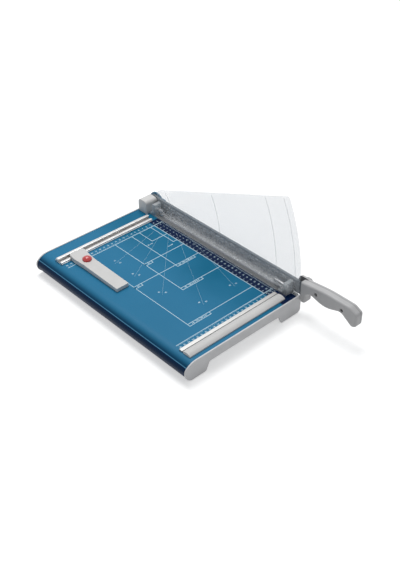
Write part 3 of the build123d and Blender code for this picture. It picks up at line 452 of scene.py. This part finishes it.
band_edge = on_table(band_left, 0).x
band_start = on_table(0, 0).y
in_band = ramp_between(enamel, across_table, band_edge - 0.1 * MM, band_edge + 0.1 * MM)
before_stop = ramp_between(enamel, enamel_axes["Y"], band_start + 2.0 * MM, band_start + 1.0 * MM)
coat = paint_over(enamel, coat, navy_band_and_shade, where_both(enamel, in_band, before_stop))
enamel.node_tree.links.new(coat, enamel.node_tree.nodes["Principled BSDF"].inputs["Base Color"])
add_relief(enamel, noise(enamel, 900.0, 2.0), orange_peel)
vary_roughness(enamel, noise(enamel, 35.0, 5.0), 0.30, 0.38)
dress(enamel, "table_plate")

doubler_enamel = new_finish("teal_enamel", enamel_teal, enamel_roughness)
vary_colour(doubler_enamel, spread(doubler_enamel, noise(doubler_enamel, 60.0, 3.0), 0.0, 1.0),
            enamel_teal, shade(enamel_blue, 0.8))
add_relief(doubler_enamel, noise(doubler_enamel, 900.0, 2.0), orange_peel)
dress(doubler_enamel, "pivot_doubler")

# %% [markdown]
# ## Moulded plastics
#
# The caps, cover, backstop and handle are injection mouldings. Their tools are spark eroded, which
# leaves a fine even grain, and the surface is a little shinier where it is handled. The two halves
# of the handle meet in a seam that holds dirt, so it is drawn as a thin dark line.

# %% Plastics
cap_grey = (0.68, 0.68, 0.69)
light_grey = (0.64, 0.635, 0.625)
handle_grey = (0.50, 0.50, 0.505)
seam_shadow = (0.10, 0.10, 0.105)
seam_half = 0.3
seam_soft = 0.2
button_colour = (0.55, 0.025, 0.03)
red_coat = 0.5


def moulded(name, colour, roughness, grain=0.000012):
    """Plastic with a spark eroded grain and faint flow marks."""
    finish = new_finish(name, colour, roughness)
    flow_marks = spread(finish, noise(finish, 40.0, 5.0), 0.0, 1.0)
    vary_colour(finish, flow_marks, shade(colour, 0.96), shade(colour, 1.04))
    add_relief(finish, noise(finish, 2200.0, 3.0), grain)
    vary_roughness(finish, noise(finish, 120.0, 4.0), roughness - 0.05, roughness + 0.06)
    return finish


dress(moulded("cap_moulding", cap_grey, 0.48), "front_end_cap", "rear_end_cap", "clamp_shoe")
light_moulding = moulded("light_moulding", light_grey, 0.46)
dress(light_moulding, "hinge_cover", "backstop_arm", "front_rail_bar")
handle_moulding = moulded("handle_moulding", handle_grey, 0.44)
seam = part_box("handle_near_half")[1].x
seam_outer = (seam_half + seam_soft) * MM
across_handle = object_axes(handle_moulding)["X"]
left_of_seam = ramp_between(handle_moulding, across_handle, seam - seam_outer, seam - seam_half * MM)
right_of_seam = ramp_between(handle_moulding, across_handle, seam + seam_outer, seam + seam_half * MM)
paint_where(handle_moulding, seam_shadow, where_both(handle_moulding, left_of_seam, right_of_seam))
dress(handle_moulding, "handle_near_half", "handle_far_half")
button_red = moulded("button_red", button_colour, 0.24, 0.000004)
button_red.node_tree.nodes["Principled BSDF"].inputs["Coat Weight"].default_value = red_coat
dress(button_red, "release_button")

# %% [markdown]
# ## Clear guard
#
# The guard is a thin polycarbonate moulding. A thin clear sheet barely bends light, so it is
# made from partial cover with a gloss on top instead of deep glass, which would make dark edges.
# The brackets are thicker blocks of the same plastic, so they cover more.

# %% Clear plastic
guard_cover = 0.24
block_cover = 0.42

guard_tint = (0.76, 0.79, 0.82)
block_tint = (0.72, 0.76, 0.79)
polycarbonate_ior = 1.58
mould_ripple = 0.000008


def clear_plastic(name, tint, cover, roughness, ripple_scale, haze_scale):
    """Clear plastic by partial cover, with faint ripples and haze."""
    finish = new_finish(name, tint, roughness)
    shader = finish.node_tree.nodes["Principled BSDF"]
    shader.inputs["Alpha"].default_value = cover
    shader.inputs["IOR"].default_value = polycarbonate_ior
    add_relief(finish, noise(finish, ripple_scale, 2.0), mould_ripple)
    vary_roughness(finish, noise(finish, haze_scale, 4.0), roughness - 0.03, roughness + 0.04)
    return finish


dress(clear_plastic("clear_polycarbonate", guard_tint, guard_cover, 0.10, 25.0, 60.0), "guard_shield")
dress(clear_plastic("clear_block", block_tint, block_cover, 0.08, 40.0, 90.0),
      "guard_bracket_rear", "guard_bracket_front")

# %% [markdown]
# ## Metals
#
# Drawn aluminium has fine lines along its length, ground blade steel has them across the blade,
# and zinc plate is cloudy. A noise that is stretched along one axis gives the lines, and an even
# one gives the clouds.

# %% Metals
def lined_metal(name, colour, roughness, stretch, depth):
    """Metal with fine lines along the axis whose stretch is small."""
    finish = new_finish(name, colour, roughness, 1.0)
    lines = noise(finish, 1500.0, 3.0, stretch)
    add_relief(finish, lines, depth)
    vary_colour(finish, spread(finish, lines, 0.0, 1.0), shade(colour, 0.90), shade(colour, 1.05))
    vary_roughness(finish, noise(finish, 80.0, 4.0), roughness - 0.05, roughness + 0.08)
    return finish


def cloudy_metal(name, colour, roughness):
    """Plated metal with soft patches."""
    finish = new_finish(name, colour, roughness, 1.0)
    cloud = noise(finish, 260.0, 6.0)
    vary_colour(finish, spread(finish, cloud, 0.0, 1.0), shade(colour, 0.85), shade(colour, 1.08))
    add_relief(finish, cloud, 0.00001)
    vary_roughness(finish, noise(finish, 500.0, 4.0), roughness - 0.06, roughness + 0.08)
    return finish


along_rail = (0.01, 1.0, 1.0)
across_blade = (1.0, 1.0, 0.02)
dress(lined_metal("drawn_aluminium", (0.60, 0.595, 0.59), 0.34, along_rail, 0.000006), "back_rail")
dress(lined_metal("satin_aluminium", (0.42, 0.418, 0.41), 0.46, along_rail, 0.000006), "front_rail_strip")
dress(lined_metal("ground_steel", (0.62, 0.63, 0.64), 0.24, across_blade, 0.000004),
      "lower_blade", "upper_blade")
dress(cloudy_metal("zinc_plate", (0.58, 0.59, 0.60), 0.36),
      "front_brace", "rear_brace", "blade_rail", "pivot_bracket")
dress(cloudy_metal("screw_steel", (0.52, 0.52, 0.53), 0.30),
      "end_cap_screws", "end_cap_nuts", "rail_screws", "lower_blade_screws", "pivot_bracket_screws",
      "pivot_bolt", "pivot_nut", "hinge_cover_screws", "guard_bracket_screws", "upper_blade_screws",
      "upper_blade_nuts", "doubler_rivets", "handle_screws", "handle_nuts", "shoe_screws", "guard_pins")
dress(cloudy_metal("spring_steel", (0.40, 0.40, 0.41), 0.34),
      "guard_springs", "button_spring", "pivot_springs")
dress(cloudy_metal("sintered_bronze", (0.50, 0.33, 0.15), 0.42), "pivot_spacer", "pivot_bush")

dress(moulded("beam_enamel", (0.15, 0.175, 0.195), 0.55, 0.000010), "lever_beam")
dress(moulded("black_rubber", (0.03, 0.03, 0.03), 0.75, 0.00003), "rubber_feet", "clamp_strip")

# %% [markdown]
# ## Ink on the table
#
# The formats are screen printed in pale blue. Ink is a thin layer that stands on the enamel, so
# each line is a flat ribbon a few hundredths of a millimetre thick. Real geometry keeps the print
# sharp at any distance, which a texture would not.

# %% Helpers for ink
ink_low = 0.02
ink_high = 0.05
ink_step = 0.015
line_width = 1.0
word_weight = 0.018
ink_pale = (0.66, 0.86, 0.94)
ink_dark = (0.60, 0.82, 0.92)
ink_light = (0.72, 0.90, 0.97)

ink = new_finish("pale_blue_ink", ink_pale, 0.5)
add_relief(ink, noise(ink, 1800.0, 2.0), 0.000005)
vary_colour(ink, spread(ink, noise(ink, 300.0, 3.0), 0.0, 1.0), ink_dark, ink_light)


def draw_line(form, start, end, width=line_width):
    """Ribbon of ink from start to end, both (x, y) in millimetres; lines along x lie higher."""
    along = Vector(end) - Vector(start)
    across = Vector((-along.y, along.x)).normalized() * width / 2
    ring = [Vector(start) + across, Vector(start) - across, Vector(end) - across, Vector(end) + across]
    low = [form.verts.new(on_table(p.x, p.y, ink_low)) for p in ring]
    top = ink_high + (ink_step if abs(along.x) > abs(along.y) else 0.0)
    high = [form.verts.new(on_table(p.x, p.y, top)) for p in ring]
    form.faces.new(high)
    form.faces.new(low[::-1])
    for i in range(4):
        form.faces.new((low[i], low[(i + 1) % 4], high[(i + 1) % 4], high[i]))


def draw_tray(form, left, right, front, back):
    """Rectangle whose rear side is a line that is drawn already."""
    draw_line(form, (left, back), (left, front - line_width / 2))
    draw_line(form, (left, front), (right, front))
    draw_line(form, (right, front - line_width / 2), (right, back))


def print_piece(name, form):
    """Makes ink geometry a piece that rides on the base."""
    bmesh.ops.recalc_face_normals(form, faces=form.faces)
    mesh = bpy.data.meshes.new(name)
    form.to_mesh(mesh)
    form.free()
    mesh.materials.append(ink)
    piece = bpy.data.objects.new(name, mesh)
    bpy.context.scene.collection.objects.link(piece)
    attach(piece, "base")
    print(name, "has", len(mesh.polygons), "faces")


word_meshes = {}


def draw_word(form, text, x, y, size):
    """Printed word centred on x, y; size in millimetres."""
    if text not in word_meshes:
        curve = bpy.data.curves.new("word", "FONT")
        curve.body = text
        curve.offset = word_weight
        curve.align_x = "CENTER"
        curve.align_y = "CENTER"
        carrier = bpy.data.objects.new("word", curve)
        bpy.context.scene.collection.objects.link(carrier)
        bpy.context.view_layer.update()
        shape = carrier.evaluated_get(bpy.context.evaluated_depsgraph_get())
        word_meshes[text] = bpy.data.meshes.new_from_object(shape)
        bpy.data.objects.remove(carrier)
        bpy.data.curves.remove(curve)
    mesh = word_meshes[text].copy()
    mesh.transform(Matrix.Translation(on_table(x, y, ink_high + ink_step)) @ Matrix.Scale(size * MM, 4))
    form.from_mesh(mesh)
    bpy.data.meshes.remove(mesh)


# %% [markdown]
# ## Paper formats
#
# Each format is drawn from the corner where the stop meets the cutting edge, so a sheet pushed
# into that corner shows what will be left. The smaller formats are drawn both ways round, and so
# is a business card. Formats share some of their lines, and two ribbons in one place would
# flicker, so each line is drawn once, as long as its longest format needs.

# %% Format lines
ruler_back = -15.0
ruler_front = -326.0
label_depth = 6.5
label_size = 4.6
card_size = 4.2
edge_line_width = 1.1
a4 = (210.0, 297.0)
a5 = (148.0, 210.0)
a6 = (105.0, 148.0)
card = (55.0, 85.0)

formats = bmesh.new()
draw_line(formats, (band_left, ruler_back), (band_left, ruler_front), edge_line_width)
depth_at = {}
width_at = {}
for width, length in (a4, a5, a6, a5[::-1], a6[::-1], card, card[::-1]):
    depth_at[width] = max(depth_at.get(width, 0.0), length)
    width_at[length] = max(width_at.get(length, 0.0), width)
for width, length in depth_at.items():
    draw_line(formats, (-width, ruler_back), (-width, -length - line_width / 2))
for length, width in width_at.items():
    draw_line(formats, (-width, -length), (band_left, -length))
print("lines down the table:", sorted(depth_at), "and across it:", sorted(width_at))
print_piece("format_lines", formats)

# %% [markdown]
# ## Labels
#
# A narrow box outside the corner of each format names it. The names are those of the paper
# standard, so they say nothing about who made the machine.

# %% Format labels
labels = bmesh.new()
for text, (width, length), box_length in (
    ("A4   210 x 297 mm", a4, 52.0),
    ("A5   148 x 210 mm", a5, 52.0),
    ("A6   105 x 148 mm", a6, 46.0),
    ("A5", a5[::-1], 17.0),
    ("A6", a6[::-1], 17.0),
):
    draw_tray(labels, -width, box_length - width, -length - label_depth, -length)
    draw_word(labels, text, box_length / 2 - width, -length - label_depth / 2, label_size)
draw_word(labels, "55 x 85", -68.0, -91.0, card_size)
draw_word(labels, "85 x 55", -95.0, -61.0, card_size)
print_piece("format_labels", labels)

# %% [markdown]
# ## Rulers
#
# Two rulers measure from the cutting edge, one behind the formats and one in front of them. A
# third runs along the cutting edge. A loop draws a tick for every millimetre, with longer ones
# at whole centimetres, and the two long rulers also mark the half centimetres.

# %% Rulers
ruler_end = 263
tick_width = 0.25
baseline_width = 0.8
number_size = 4.6
number_gap = 8.0
edge_start = 16
edge_first_number = 20
edge_number_size = 4.2
edge_gap = 0.5
edge_number_gap = 9.0

rulers = bmesh.new()
for line_y, way in ((ruler_back, 1), (ruler_front, -1)):
    draw_line(rulers, (-ruler_end, line_y), (guard_foot_left, line_y), baseline_width)
    for place in range(int(-guard_foot_left) + 1, ruler_end + 1):
        tick = 5.0 if place % 10 == 0 else 3.5 if place % 5 == 0 else 2.0
        draw_line(rulers, (-place, line_y), (-place, line_y + way * tick), tick_width)
    for place in range(30, ruler_end, 10):
        draw_word(rulers, str(place // 10), -place, line_y + way * number_gap, number_size)
edge_ruler_x = guard_foot_left - edge_gap
for place in range(edge_start, int(-front_stop)):
    tick = 4.0 if place % 10 == 0 else 2.0
    draw_line(rulers, (edge_ruler_x, -place), (edge_ruler_x - tick, -place), tick_width)
for place in range(edge_first_number, int(-front_stop) - 5, 10):
    draw_word(rulers, str(place // 10), guard_foot_left - edge_number_gap, -place, edge_number_size)
    draw_line(rulers, (band_left + 2.0, -place), (band_left + 5.5, -place), baseline_width)
print_piece("rulers", rulers)

# %% [markdown]
# ## Angle lines
#
# Faint rays fan out every 15 degrees from the point where the rear ruler meets the cutting edge.
# Each ends at a pair of short numbers near the middle of the table.

# %% Angle lines
angle_centre = Vector((0.0, ruler_back))
angle_left = -181.0
angle_front = -268.0
ray_start = 62.0
ray_overrun = 8.0
ray_width = 0.16
ray_number_size = 4.4
ray_number_gap = 6.5
ray_angles = (15, 30, 45, 60, 75)

angles = bmesh.new()
for degrees in ray_angles:
    heading = Vector((-math.cos(math.radians(degrees)), -math.sin(math.radians(degrees))))
    reach = min((angle_left - angle_centre.x) / heading.x, (angle_front - angle_centre.y) / heading.y)
    end = angle_centre + heading * reach
    tip = angle_centre + heading * (reach + ray_overrun)
    draw_line(angles, angle_centre + heading * ray_start, tip, ray_width)
    side = Vector((-heading.y, heading.x))
    for way, number in ((-1, degrees), (1, 90 - degrees)):
        spot = end + side * way * ray_number_gap
        draw_word(angles, str(number), spot.x, spot.y, ray_number_size)
print_piece("angle_lines", angles)

# %% [markdown]
#
# Dressing a machine must not change its size.

bpy.context.scene.view_settings.view_transform = "Standard"
